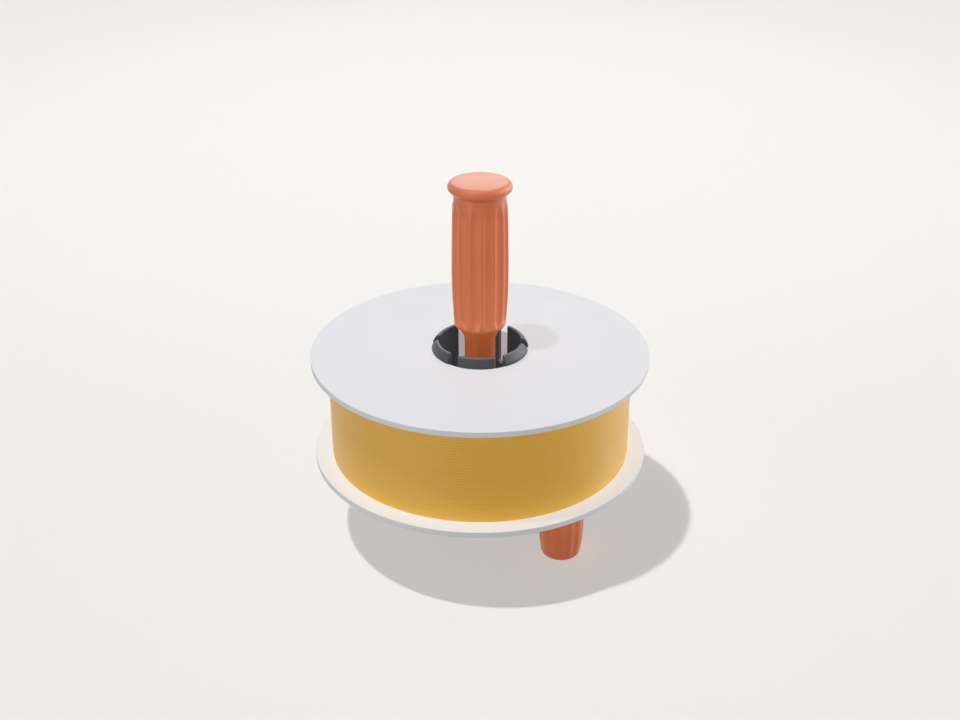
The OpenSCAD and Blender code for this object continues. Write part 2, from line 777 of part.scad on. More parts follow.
module knob_body() {
    mid_z = (knob_top_z + knob_bottom_z) / 2;
    inner_r = bush_r + push_gap;
    edge_in_r = knob_end_r - knob_edge_r;
    color("tomato")
    at_knob()
        difference() {
            rotate_extrude()
            polygon(joined(concat(
                [[inner_r, knob_top_z]],
                reversed(arc(edge_in_r, knob_top_z - knob_edge_r, knob_edge_r, 0, 90, edge_steps)),
                reversed(half_barrel(knob_r, knob_end_r, mid_z, knob_top_z - knob_edge_r, curve_steps)),
                half_barrel(knob_r, knob_end_r, mid_z, knob_bottom_z + knob_edge_r, curve_steps),
                arc(edge_in_r, knob_bottom_z + knob_edge_r, knob_edge_r, 0, -90, edge_steps),
                [[knob_well_r, knob_bottom_z], [knob_well_r, knob_well_z], [inner_r, knob_well_z]]
            )));
            flute_cuts(knob_flutes, knob_flute_r, knob_flute_depth, knob_r,
                knob_bottom_z - over, knob_top_z + over, knob_flute_turn);
        }
}

// A flanged bush whose flange lies against the knob at z, on the side that way points to
module flanged_bush(z, way) {
    bore_r = pin_r + turn_gap;
    color("burlywood")
    at_knob()
        rotate_extrude()
        polygon([
            [bore_r, z - way * bush_l], [bush_r, z - way * bush_l], [bush_r, z], [bush_flange_r, z],
            [bush_flange_r, z + way * bush_flange_t], [bore_r, z + way * bush_flange_t]
        ]);
}

module knob_upper_bush() { flanged_bush(knob_top_z, 1); }
module knob_lower_bush() { flanged_bush(knob_well_z, -1); }

module knob_plug() {
    edge = knob_plug_t / 4;
    color("tomato")
    at_knob()
        rotate_extrude()
        polygon([
            [0, knob_bottom_z], [knob_well_r - push_gap - edge, knob_bottom_z],
            [knob_well_r - push_gap, knob_bottom_z + edge],
            [knob_well_r - push_gap, knob_bottom_z + knob_plug_t], [0, knob_bottom_z + knob_plug_t]
        ]);
}

// A flange with a groove on its inner side for the drum, which is above it when up is 1
module spool_flange(z, up) {
    groove_z = up > 0 ? z + flange_t - groove_depth : z - over;
    color("whitesmoke")
    difference() {
        ring(spool_r, spool_bore_r, z, flange_t);
        ring(drum_r + push_gap, drum_r - drum_wall - push_gap, groove_z, groove_depth + over);
    }
}

module spool_top_flange() { spool_flange(spool_top_z - flange_t, -1); }
module spool_bottom_flange() { spool_flange(spool_bottom_z, 1); }

module spool_drum() {
    low = spool_bottom_z + flange_t;
    h = spool_w - 2 * flange_t;
    color("whitesmoke")
    union() {
        ring(drum_r, drum_r - drum_wall, low - groove_depth, h + 2 * groove_depth);
        ring(spool_bore_r + bore_wall, spool_bore_r, low, h);
        for (i = [0 : webs - 1])
            rotate([0, 0, 360 * (i + 1 / 2) / webs])
            translate([-web_t / 2, spool_bore_r + bore_wall / 2, low])
            cube([web_t, drum_r - drum_wall / 2 - spool_bore_r - bore_wall / 2, h]);
    }
}

// Places along the outer layer: the helix in the middle, a bend and a straight end at each side.
// Each entry is the centre, the outward direction and, for a check, the turn it belongs to.
function helix_angle(i) = strand_end_turn + 360 * i / rings_per_turn;
function helix_z(i) = spool_mid_z + strand_reach_z - strand_pitch * i / rings_per_turn;
function outward(a) = [sin(a), -cos(a), 0];
function onward(a) = [cos(a), sin(a), 0];
function helix_place(i) = [
    outward(helix_angle(i)) * strand_r + [0, 0, helix_z(i)], outward(helix_angle(i))
];
// A place in the bend at one end: way is 1 past the last ring and -1 before the first
function bend_place(i, way, turn, extra) = [
    helix_place(i)[0]
        + onward(helix_angle(i)) * way * wound_bend_r * sin(turn)
        - outward(helix_angle(i)) * (wound_bend_r * (1 - cos(turn)) + extra),
    outward(helix_angle(i)) * cos(turn) + onward(helix_angle(i)) * way * sin(turn)
];
function end_places(i, way) = concat(
    [for (k = [1 : bend_steps]) bend_place(i, way, 90 * k / bend_steps, 0)],
    [bend_place(i, way, 90, filament_d)]
);
strand_places = concat(
    reversed(end_places(0, -1)),
    [for (i = [0 : helix_rings]) helix_place(i)],
    end_places(helix_rings, 1)
);

// Least distance between centres a turn or so apart, less the filament's own diameter
function least_strand_gap() = min([
    for (i = [0 : len(strand_places) - 1])
    for (j = [i + rings_per_turn / 2 : i + rings_per_turn * 3 / 2])
    if (j < len(strand_places)) norm(strand_places[i][0] - strand_places[j][0])
]) - filament_d;

module filament_outer_layer() {
    rings = len(strand_places);
    points = [
        for (place = strand_places)
        for (k = [0 : strand_sides - 1])
        let (a = 360 * (k + 1 / 2) / strand_sides)
        place[0] + (place[1] * cos(a) + [0, 0, sin(a)]) * filament_d / 2
    ];
    faces = concat(
        [[for (k = [0 : strand_sides - 1]) k]],
        [
            for (i = [0 : rings - 2])
            for (k = [0 : strand_sides - 1])
            for (half = [0, 1])
            let (a = i * strand_sides + k)
            let (b = i * strand_sides + (k + 1) % strand_sides)
            half == 0 ? [a, a + strand_sides, b] : [b, a + strand_sides, b + strand_sides]
        ],
        [[for (k = [strand_sides - 1 : -1 : 0]) (rings - 1) * strand_sides + k]]
    );
    echo(str("Outer layer of filament: least gap between turns is ", least_strand_gap(), " mm"));
    color("goldenrod") polyhedron(points = points, faces = faces);
}

// The filament under the outer layer, with a pocket where each end of that layer dips in
module filament_core() {
    pocket_w = filament_d * 2;
    pocket_l = wound_bend_r + filament_d * 2;
    color("darkgoldenrod")
    difference() {
        ring(wound_core_r, drum_r + push_gap, spool_bottom_z + flange_t, spool_w - 2 * flange_t);
        for (end = [[0, -1], [helix_rings, 1]])
            rotate([0, 0, helix_angle(end[0])])
            translate([end[1] * wound_bend_r - pocket_l / 2, -strand_r - over, 0])
            translate([0, 0, helix_z(end[0]) - pocket_w / 2])
            cube([pocket_l, strand_r + over - end_r, pocket_w]);
    }
}

grip_body();
grip_end_cap();
axle_bolt();
head_washer();
upper_ring_spacer();
upper_inner_ring();
bearing_spacer_tube();
lower_inner_ring();
lower_ring_spacer();
lock_nut();
hub_body();
snap_claw_front_right();
snap_claw_back_right();
snap_claw_back_left();
snap_claw_front_left();
upper_outer_ring();
upper_bearing_shields();
lower_outer_ring();
lower_bearing_shields();
upper_bearing_cage();
upper_bearing_balls();
lower_bearing_cage();
lower_bearing_balls();
crank_arm();
arm_screws();
dust_cap();
knob_pin();
knob_pin_nut();
knob_washer();
knob_body();
knob_upper_bush();
knob_lower_bush();
knob_plug();
spool_top_flange();
spool_bottom_flange();
spool_drum();
filament_core();
filament_outer_layer();
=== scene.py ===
import json
import math

import bmesh
import bpy
import numpy as np
from bpy.props import FloatProperty, FloatVectorProperty, IntProperty, PointerProperty
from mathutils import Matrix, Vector


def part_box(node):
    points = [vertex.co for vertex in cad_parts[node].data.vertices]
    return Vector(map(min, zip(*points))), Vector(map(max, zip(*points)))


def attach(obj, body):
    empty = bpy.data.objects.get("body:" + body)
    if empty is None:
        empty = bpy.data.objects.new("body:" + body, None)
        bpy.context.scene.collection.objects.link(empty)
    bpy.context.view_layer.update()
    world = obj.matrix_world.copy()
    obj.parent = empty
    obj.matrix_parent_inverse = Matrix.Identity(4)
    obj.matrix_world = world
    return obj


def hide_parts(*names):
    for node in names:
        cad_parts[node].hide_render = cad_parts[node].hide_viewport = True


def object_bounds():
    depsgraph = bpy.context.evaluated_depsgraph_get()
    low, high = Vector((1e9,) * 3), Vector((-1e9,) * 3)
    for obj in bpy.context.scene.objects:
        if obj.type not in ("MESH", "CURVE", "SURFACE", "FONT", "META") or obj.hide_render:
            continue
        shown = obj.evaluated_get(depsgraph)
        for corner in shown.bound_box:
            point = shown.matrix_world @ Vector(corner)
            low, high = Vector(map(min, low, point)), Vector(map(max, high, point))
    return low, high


bl_info = {
    "name": "Filament Spool Winder",
    "version": (1, 0, 0),
    "blender": (4, 5, 0),
    "location": "View3D > Sidebar > Winder",
    "description": "Dresses a hand-held filament spool winder and sets it in a pale studio",
    "category": "Object",
}

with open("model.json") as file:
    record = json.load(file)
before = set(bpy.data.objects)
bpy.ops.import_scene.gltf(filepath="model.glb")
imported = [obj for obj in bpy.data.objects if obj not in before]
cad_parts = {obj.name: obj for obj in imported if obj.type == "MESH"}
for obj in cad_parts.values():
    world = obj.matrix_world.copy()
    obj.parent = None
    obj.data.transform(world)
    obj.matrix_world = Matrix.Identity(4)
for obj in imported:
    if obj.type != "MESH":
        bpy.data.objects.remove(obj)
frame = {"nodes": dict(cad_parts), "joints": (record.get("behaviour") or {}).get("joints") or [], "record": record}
CAD_BOX = [list(corner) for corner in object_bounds()]
MOUNT_SIZES = {mount["name"]: mount["dims"] for mount in frame["record"]["mounts"]}
JOINTS = {joint["name"]: joint for joint in frame["joints"]}
KNOB_AXIS = Vector(JOINTS["knob_spin"]["pos_m"])
MM = 0.001
WHITE = (1, 1, 1, 1)
# Share of a round's radius that a holding ring stands away from it, and the most of a side that it may take
HOLD_SHARE = 0.6
HOLD_LIMIT_SHARE = 0.3
ROUND_STEPS = 6
WELD_DISTANCE = 1e-7
# Edges that turn by more than this stay sharp
SHARP_ANGLE = math.radians(32)
# The range that most of a noise texture's values lie in
NOISE_LOW = 0.3
NOISE_HIGH = 0.7
# Noise cells a metre along x, y and z: the filament's streaks run long round the spool and are fine upwards
STREAK_SCALE = (6, 6, 900)
COAT_ROUGHNESS = 0.3
# Width of the camera's sensor in millimetres
SENSOR_WIDTH = 36
# Place of each claw among the hub's fingers, counted from the front guide to the right
CLAW_PLACES = {
    "snap_claw_front_right": 1,
    "snap_claw_back_right": 2,
    "snap_claw_back_left": 4,
    "snap_claw_front_left": 5,
}
# The way towards the key light
KEY_FROM = (-0.29, -0.155, 1)
# Each lamp's name, the setting with its strength, the way towards it, how many degrees wide it looks, and
# whether it casts a shadow
LAMPS = [
    ("key_lamp", "key", KEY_FROM, 2.2, True),
    ("floor_key", "floor_key", KEY_FROM, 2.2, True),
    ("top_light", "above", (0, 0, 1), 60, False),
    ("dome", "dome", (0, 0, 1), 170, False),
    ("floor_light", "below", (0, 0, -1), 170, False),
    ("right_fill", "right", (0.95, 0.31, 0.3), 60, False),
    ("left_fill", "front_left", (-0.7, -0.7, 0.2), 60, False),
    ("front_fill", "front", (0, -1, 0.5), 120, False),
    ("back_light", "back", (0, 1, 0.5), 25, False),
]


def low_of(node):
    """The lowest corner of a CAD node's box."""
    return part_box(node)[0]


def high_of(node):
    """The highest corner of a CAD node's box."""
    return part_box(node)[1]


def srgb(red, green, blue):
    """A colour given as it shows on a screen, from 0 to 255, in Blender's linear values."""
    shown = np.array([red, green, blue]) / 255
    return tuple(np.where(shown <= 0.04045, shown / 12.92, ((shown + 0.055) / 1.055) ** 2.4))


def length(name, description, default):
    """A size in metres that the sidebar shows in the scene's length unit."""
    return FloatProperty(
        name=name, description=description, default=default, min=0, unit="LENGTH", precision=5
    )


def angle(name, description, degrees):
    """An angle that the sidebar shows in degrees."""
    return FloatProperty(name=name, description=description, default=math.radians(degrees), subtype="ANGLE")


def count(name, description, default, least):
    """How many of a form stand round an axis."""
    return IntProperty(name=name, description=description, default=default, min=least)


def strength(name, light, default):
    """The strength of a light."""
    return FloatProperty(name=name, description="Strength of " + light, default=default, min=0)


def colour(name, description, shown):
    """A colour, with its default given as it shows on a screen."""
    return FloatVectorProperty(
        name=name, description=description, default=srgb(*shown), subtype="COLOR", size=3, min=0, max=1
    )


class WinderGrip(bpy.types.PropertyGroup):
    """Sizes and colour of the hand grip and its end cap."""

    long: length("Length", "From the foot to the end cap", MOUNT_SIZES["hand_grip"]["length_mm"] * MM)
    radius: length("Radius", "Barrel where it is widest", MOUNT_SIZES["hand_grip"]["r_mm"] * MM)
    shoulder: length("Shoulder radius", "Barrel just under the collar", 15.75 * MM)
    foot: length("Foot radius", "Barrel at its foot", 15.25 * MM)
    foot_round: length("Foot round", "Rounded edge at the foot", 3 * MM)
    widest: length("Widest place", "Height above the foot where the barrel is widest", 33 * MM)
    collar: length("Collar radius", "Smooth collar under the end cap", 15 * MM)
    collar_height: length("Collar height", "Height of the collar on the barrel", 1.5 * MM)
    step: length("Shoulder slope", "Height of the slope from the collar to the barrel", 3.6 * MM)
    flutes: count("Flutes", "Number of flutes round the barrel", 14, least=3)
    flute_radius: length("Flute radius", "Round bottom of a flute", 4.2 * MM)
    flute_depth: length("Flute depth", "Depth of a flute between its ends", 1.5 * MM)
    flute_softness: length("Flute softness", "Width over which a flute's edges are rounded", 0.5 * MM)
    flute_turn: angle("Flute turn", "Turn of the first flute from the front", 17)
    flute_top: length("Flute top", "From the collar to where the flutes end", 1 * MM)
    flute_foot: length("Flute foot", "From the foot to where the flutes end", 3 * MM)
    flute_fade: length("Flute run-out", "Length over which a flute's end runs out", 8 * MM)
    neck: length("Neck radius", "Neck that goes down into the hub", 9.05 * MM)
    cone: length("Cone radius", "Neck's cone where it leaves the foot", 12.2 * MM)
    cone_height: length("Cone height", "Height of the cone", 7 * MM)
    bore: length("Bore radius", "Hole for the axle bolt", 4.1 * MM)
    well: length("Well radius", "Well for the bolt's head", 10 * MM)
    well_depth: length("Well depth", "Depth of that well", 14 * MM)
    spigot_gap: length("Spigot gap", "Clearance of the cap's spigot in the well", 0.05 * MM)
    cap_collar: length("Cap collar", "Height of the collar on the cap", 1.6 * MM)
    cap_flare: length("Cap rim height", "From the grip's top to the cap's rim", 5.2 * MM)
    cap_flare_round: length("Cap flare round", "Round between the flare and the rim", 0.8 * MM)
    cap_edge: length("Cap edge round", "Rounded top edge of the cap", 3.2 * MM)
    cap_dome: length("Cap dome", "Rise of the domed top from its rim", 1.2 * MM)
    tint: colour("Plastic colour", "Orange plastic of the grip, the cap and the knob", (220, 106, 41))


class WinderKnob(bpy.types.PropertyGroup):
    """Sizes of the crank knob."""

    radius: length("Radius", "Knob where it is widest", MOUNT_SIZES["crank_knob"]["r_mm"] * MM)
    end: length("End radius", "Knob at its two ends", 11.9 * MM)
    edge: length("Edge round", "Rounded edges of the knob", 2.8 * MM)
    flutes: count("Flutes", "Number of flutes round the knob", 10, least=3)
    flute_radius: length("Flute radius", "Round bottom of a flute", 4.5 * MM)
    flute_depth: length("Flute depth", "Depth of a flute between its ends", 0.7 * MM)
    flute_softness: length("Flute softness", "Width over which a flute's edges are rounded", 0.7 * MM)
    flute_turn: angle("Flute turn", "Turn of the first flute from the front", 72.7)
    flute_end: length("Flute end", "From the knob's ends to where the flutes end", 2.2 * MM)
    flute_fade: length("Flute run-out", "Length over which a flute's end runs out", 4 * MM)
    bore: length("Bore radius", "Hole for the bushes", 6.05 * MM)
    well: length("Well radius", "Well in the knob's free end", 8.2 * MM)
    bush: length("Bush length", "Lower bush from its flange to its other end", 9 * MM)


class WinderSpool(bpy.types.PropertyGroup):
    """Sizes and colours of the spool and its filament."""

    bore: length("Bore radius", "Hole that the hub goes into", 27.25 * MM)
    edge: length("Edge round", "Rounded edges of the flanges", 0.35 * MM)
    groove_depth: length("Groove depth", "Groove in a flange that the drum sits in", 1.2 * MM)
    groove_gap: length("Groove gap", "Clearance of the drum in its groove", 0.05 * MM)
    drum_wall: length("Drum wall", "Wall of the drum", 2.4 * MM)
    strand: length("Filament diameter", "Diameter of the filament", 1.75 * MM)
    proud: length("Strand height", "How far a turn stands out of the layer under it", 0.14 * MM)
    white: colour("Spool colour", "White plastic of the spool", (232, 234, 238))
    gold: colour("Filament colour", "Gold filament", (231, 176, 47))


class WinderHub(bpy.types.PropertyGroup):
    """Sizes of the claws, and colour of the hub, the crank arm and the dust cap."""

    radius: length("Radius", "Outside of the hub", 26.95 * MM)
    wall: length("Wall", "Thickness of a claw", 2.7 * MM)
    turn: angle("Turn", "Turn of the hub's front guide from the front", -5.2)
    fingers: count("Fingers", "Number of guides and claws round the hub", 6, least=2)
    slot: length("Slot width", "Width of the slots between the fingers", 6.1 * MM)
    slot_depth: length("Slot depth", "From the spool's face to the middle of a slot's end", 17.65 * MM)
    crown: length("Crown", "Width of a claw's top before it slopes down to the hook", 1.7 * MM)
    bulge: length("Slope bulge", "How far a claw's slope bulges", 0.3 * MM)
    hook: length("Hook", "Reach of a claw's hook over the spool's flange", 1.65 * MM)
    hook_edge: length("Hook edge", "Height of the hook's straight edge", 1.85 * MM)
    hook_gap: length("Hook gap", "From the spool's top face to the hook", 0.25 * MM)
    hook_round: length("Hook round", "Rounded lower edge of the hook", 0.5 * MM)
    edge: length("Edge round", "Rounded edges of the claws", 0.35 * MM)
    tint: colour("Plastic colour", "Grey plastic of the hub, its claws and the crank arm", (55, 58, 64))


class WinderStage(bpy.types.PropertyGroup):
    """The studio: camera, lamps, floor and backdrop."""

    lens: FloatProperty(name="Lens", description="Focal length in millimetres", default=50.38)
    distance: length("Camera distance", "From the camera to the point that it looks at", 0.8)
    elevation: angle("Camera elevation", "Height of the camera above the horizon", 26.78)
    aim: length("Aim depth", "Depth of the point looked at, below the grip's middle", 0.06268)
    key: strength("Key", "the key lamp, from the upper left", 0.42)
    floor_key: strength("Floor key", "the key lamp's further share, which falls on the floor alone", 1.1)
    above: strength("Light from above", "the soft light from above", 0.55)
    dome: strength("Dome", "the wide soft light from above", 0.35)
    below: strength("Light from below", "the soft light off the floor", 0.2)
    right: strength("Right fill", "the soft light from the right", 1.74)
    front_left: strength("Left fill", "the soft light from the front left", 0.71)
    front: strength("Front fill", "the soft light from the front", 0.3)
    back: strength("Back light", "the soft light from behind", 0.25)
    ambient: strength("Ambient", "the even light from all round", 0.15)
    floor_reach: length("Floor reach", "From the middle of the floor to its sides", 6)
    # The floor's colour is painted: palest in a patch behind the object, a painted pool of light, and darker
    # towards the picture's edges, painted shade where the light falls off
    painted_light_depth: length("Pale patch depth", "From the object back to the pale patch's middle", 0.85)
    painted_light_radius: length("Pale patch radius", "Where the pale patch starts to get darker", 0.2)
    painted_light_end: length("Pale patch end", "Where the floor has got its edge colour", 1.15)
    floor: colour("Floor colour", "Floor behind the object, in full light", (228, 227, 224))
    floor_painted_shade: colour("Floor edge colour", "Floor towards the edges of the picture", (219, 216, 212))
    bounce: colour("Floor bounce", "Floor as it lights the object from below", (100, 100, 99))


def grid_faces(rows, columns, wrap_rows):
    """Four-sided faces of a grid whose columns close on themselves: face (i, j) joins points i, j to
    i + 1, j + 1."""
    i = np.arange(rows if wrap_rows else rows - 1)[:, None]
    j = np.arange(columns)[None, :]
    after = (i + 1) % rows
    beside = (j + 1) % columns
    corners = (i * columns + j, i * columns + beside, after * columns + beside, after * columns + j)
    return np.stack(corners, axis=-1).reshape(-1, 4)


def end_faces(rows, columns):
    """Four-sided faces that close the two ends of a grid whose columns close on themselves, each from one
    side of the end to the other."""
    i = np.arange(columns // 2 - 1)[:, None]
    first = np.hstack([i, i + 1, columns - 2 - i, columns - 1 - i])
    return np.vstack([first, first + (rows - 1) * columns])


def mesh_from(name, points, faces):
    """A closed mesh from arrays of points and four-sided faces, with doubles merged and faces turned
    outwards."""
    mesh = bpy.data.meshes.new(name)
    mesh.vertices.add(len(points))
    mesh.vertices.foreach_set("co", np.ascontiguousarray(points, np.float32).ravel())
    mesh.loops.add(faces.size)
    mesh.loops.foreach_set("vertex_index", np.ascontiguousarray(faces, np.int32).ravel())
    mesh.polygons.add(len(faces))
    mesh.polygons.foreach_set("loop_start", np.arange(0, faces.size, faces.shape[1], dtype=np.int32))
    mesh.update(calc_edges=True)
    worked = bmesh.new()
    worked.from_mesh(mesh)
    bmesh.ops.remove_doubles(worked, verts=worked.verts, dist=WELD_DISTANCE)
    bmesh.ops.dissolve_degenerate(worked, edges=worked.edges, dist=WELD_DISTANCE)
    bmesh.ops.recalc_face_normals(worked, faces=worked.faces)
    worked.to_mesh(mesh)
    worked.free()
    mesh.shade_smooth()
    mesh.set_sharp_from_angle(angle=SHARP_ANGLE)
    return mesh


def add_piece(name, mesh, body, slot, node):
    """Links a mesh as a piece that has a slot's finish, rides on a body and stands for a CAD node."""
    piece = bpy.data.objects.new(name, mesh)
    bpy.context.scene.collection.objects.link(piece)
    mesh.materials.append(finish_material(slot))
    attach(piece, body)
    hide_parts(node)


def arc(centre, radius, start, end, steps=8):
    """Points of an arc: centre + radius (cos a, sin a), with a from start to end in degrees."""
    a = np.radians(np.linspace(start, end, steps + 1))
    return np.column_stack([centre[0] + radius * np.cos(a), centre[1] + radius * np.sin(a)])


def rounded_corner(before, corner, after, radius):
    """An arc tangent to both sides of a corner, with a holding point past each of its ends."""
    into = (before - corner) / np.linalg.norm(before - corner)
    out = (after - corner) / np.linalg.norm(after - corner)
    half = math.acos(np.clip(into @ out, -1, 1)) / 2
    reach = radius / math.tan(half)
    middle = (into + out) / np.linalg.norm(into + out)
    centre = corner + middle * radius / math.sin(half)
    start, end = corner + into * reach, corner + out * reach
    first = math.atan2(*(start - centre)[::-1])
    turn = (math.atan2(*(end - centre)[::-1]) - first + math.pi) % (2 * math.pi) - math.pi
    a = first + turn * np.linspace(0, 1, ROUND_STEPS + 1)
    curve = centre + radius * np.column_stack([np.cos(a), np.sin(a)])
    hold = radius * HOLD_SHARE
    room_in = HOLD_LIMIT_SHARE * (np.linalg.norm(before - corner) - reach)
    room_out = HOLD_LIMIT_SHARE * (np.linalg.norm(after - corner) - reach)
    return np.vstack([start + into * min(hold, room_in), curve, end + out * min(hold, room_out)])


def rounded_outline(corners):
    """A closed outline through corners given as (r, z, rounding), each rounded corner an arc."""
    spots = np.array(corners, float)[:, :2]
    stretches = []
    for i, (_, _, rounding) in enumerate(corners):
        if rounding > 0:
            stretches.append(rounded_corner(spots[i - 1], spots[i], spots[(i + 1) % len(spots)], rounding))
        else:
            stretches.append(spots[i:i + 1])
    return np.vstack(stretches)


def round_axis(r, a, z, centre=(0, 0)):
    """Points at radius r and height z, turned by a from the front to the right round an upright axis
    through centre: x = r sin a, y = -r cos a."""
    x = centre[0] + r * np.sin(a)
    y = centre[1] - r * np.cos(a)
    return np.stack(np.broadcast_arrays(x, y, z), axis=-1).reshape(-1, 3)


def turned_mesh(name, outline, around=240):
    """A surface of revolution round the axle: its points are (r, z) along a closed outline, or along one
    whose two ends lie on the axle, at each angle a = 2 pi i / around."""
    a = 2 * np.pi * np.arange(around) / around
    ends_on_axle = outline[0][0] == 0
    points = round_axis(outline[:, :1], a, outline[:, 1:])
    return mesh_from(name, points, grid_faces(len(outline), around, not ends_on_axle))


def soft_least(a, b, width):
    """The smaller of a and b, rounded where they cross: the mean of both less a parabola over width."""
    share = np.clip(0.5 + 0.5 * (b - a) / width, 0, 1)
    return b * (1 - share) + a * share - width * share * (1 - share)


def run_out(z, low, high, fade):
    """A flute's share of its full depth at each height z: 1 - u^2, with u the share of the way into the
    run-out at either end, so that the flute ends in a round arch."""
    into = np.maximum(np.maximum(low + fade - z, z - high + fade), 0) / fade
    return np.maximum(1 - into ** 2, 0)


def fluted_mesh(name, outline, depth, sizes, around_a_flute=24, centre=(0, 0)):
    """A turned surface with round-bottomed flutes: along each ray at an angle d from a flute's middle, the
    radius is the softened least of the outline's r and c cos d - sqrt(f^2 - c^2 sin^2 d), the near side
    of a flute circle of radius f whose middle is c = r - depth + f from the piece's axis. Where depth is
    0, the outline stays as it is."""
    around = sizes.flutes * around_a_flute
    a = 2 * np.pi * np.arange(around) / around
    pitch = 2 * np.pi / sizes.flutes
    d = (a - sizes.flute_turn + pitch / 2) % pitch - pitch / 2
    r, z = outline[:, :1], outline[:, 1:]
    c = r - depth[:, None] + sizes.flute_radius
    inside = sizes.flute_radius ** 2 - (c * np.sin(d)) ** 2
    # A ray that misses the flute's circle gets a radius far outside the outline's
    near = np.where(inside > 0, c * np.cos(d) - np.sqrt(np.maximum(inside, 0)), 2 * sizes.radius)
    # Never quite 0, because soft_least divides by it
    softness = sizes.flute_softness * depth[:, None] / sizes.flute_depth + WELD_DISTANCE
    r = np.where(depth[:, None] > 0, soft_least(r, near, softness), r)
    return mesh_from(name, round_axis(r, a, z, centre), grid_faces(len(outline), around, True))


def barrel(middle, end, middle_z, end_z, steps):
    """Half of a barrel's outline: the radius falls from middle to end with the square of the way there."""
    way = np.linspace(0, 1, steps + 1)
    return np.column_stack([middle - (middle - end) * way ** 2, middle_z + (end_z - middle_z) * way])


def new_group(name, inputs, outputs):
    """An empty shader node group with its sockets, each given as (name, socket type, default)."""
    group = bpy.data.node_groups.new(name, "ShaderNodeTree")
    for label, kind, default in inputs:
        socket = group.interface.new_socket(name=label, in_out="INPUT", socket_type=kind)
        socket.default_value = default
    for label, kind in outputs:
        group.interface.new_socket(name=label, in_out="OUTPUT", socket_type=kind)
    return group, group.nodes.new("NodeGroupInput"), group.nodes.new("NodeGroupOutput")


def noise(nodes, links, place, scale, detail, roughness=0.5):
    """A noise texture read at a place, with its scale linked or set."""
    texture = nodes.new("ShaderNodeTexNoise")
    texture.inputs["Detail"].default_value = detail
    texture.inputs["Roughness"].default_value = roughness
    links.new(place, texture.inputs["Vector"])
    if isinstance(scale, (int, float)):
        texture.inputs["Scale"].default_value = scale
    else:
        links.new(scale, texture.inputs["Scale"])
    return texture.outputs["Fac"]


def spread(nodes, links, value, low, high):
    """Maps a noise value's useful middle range to low .. high, each a socket or a number."""
    ranged = nodes.new("ShaderNodeMapRange")
    ranged.inputs["From Min"].default_value = NOISE_LOW
    ranged.inputs["From Max"].default_value = NOISE_HIGH
    links.new(value, ranged.inputs["Value"])
    for label, end in (("To Min", low), ("To Max", high)):
        if isinstance(end, (int, float)):
            ranged.inputs[label].default_value = end
        else:
            links.new(end, ranged.inputs[label])
    return ranged.outputs["Result"]


def mix_colours(nodes, links, share, first, second):
    """A mix of two colours, each a socket or three numbers, by a share that a socket gives."""
    mix = nodes.new("ShaderNodeMix")
    mix.data_type = "RGBA"
    links.new(share, mix.inputs["Factor"])
    for label, given in (("A", first), ("B", second)):
        socket = next(item for item in mix.inputs if item.name == label and item.type == "RGBA")
        if isinstance(given, bpy.types.NodeSocket):
            links.new(given, socket)
        else:
            socket.default_value = (*given, 1)
    return next(item for item in mix.outputs if item.type == "RGBA")


def seen_directly(nodes, links):
    """1 for what the camera sees, also in gloss and through glass, and 0 for light that falls on a
    surface."""
    path = nodes.new("ShaderNodeLightPath")
    total = path.outputs["Is Camera Ray"]
    for label in ("Is Glossy Ray", "Is Transmission Ray"):
        add = nodes.new("ShaderNodeMath")
        add.use_clamp = True
        links.new(total, add.inputs[0])
        links.new(path.outputs[label], add.inputs[1])
        total = add.outputs["Value"]
    return total


def moulded_skin():
    """Node group: the skin of a moulded piece, with clouded colour, patchy gloss and a fine grain."""
    if "Moulded skin" in bpy.data.node_groups:
        return bpy.data.node_groups["Moulded skin"]
    group, given, out = new_group(
        "Moulded skin",
        [
            ("Color", "NodeSocketColor", (0.8, 0.8, 0.8, 1)),
            ("Cloud Color", "NodeSocketColor", (0.7, 0.7, 0.7, 1)),
            ("Cloud Scale", "NodeSocketFloat", 40.0),
            ("Gloss Low", "NodeSocketFloat", 0.35),
            ("Gloss High", "NodeSocketFloat", 0.5),
            ("Grain Scale", "NodeSocketFloat", 2500.0),
            ("Grain Depth", "NodeSocketFloat", 0.00002),
        ],
        [("Color", "NodeSocketColor"), ("Roughness", "NodeSocketFloat"), ("Normal", "NodeSocketVector")],
    )
    nodes, links = group.nodes, group.links
    place = nodes.new("ShaderNodeTexCoord").outputs["Object"]
    cloud = noise(nodes, links, place, given.outputs["Cloud Scale"], detail=3)
    share = spread(nodes, links, cloud, 0.0, 1.0)
    clouded = mix_colours(nodes, links, share, given.outputs["Color"], given.outputs["Cloud Color"])
    links.new(clouded, out.inputs["Color"])
    patches = noise(nodes, links, place, given.outputs["Cloud Scale"], detail=5, roughness=0.65)
    gloss = spread(nodes, links, patches, given.outputs["Gloss Low"], given.outputs["Gloss High"])
    links.new(gloss, out.inputs["Roughness"])
    grain = noise(nodes, links, place, given.outputs["Grain Scale"], detail=2)
    bump = nodes.new("ShaderNodeBump")
    bump.inputs["Strength"].default_value = 1
    links.new(given.outputs["Grain Depth"], bump.inputs["Distance"])
    links.new(grain, bump.inputs["Height"])
    links.new(bump.outputs["Normal"], out.inputs["Normal"])
    return group


def new_material(name):
    """A new material with its nodes, its links and its Principled BSDF."""
    material = bpy.data.materials.new(name)
    material.use_nodes = True
    tree = material.node_tree
    return material, tree.nodes, tree.links, tree.nodes["Principled BSDF"]


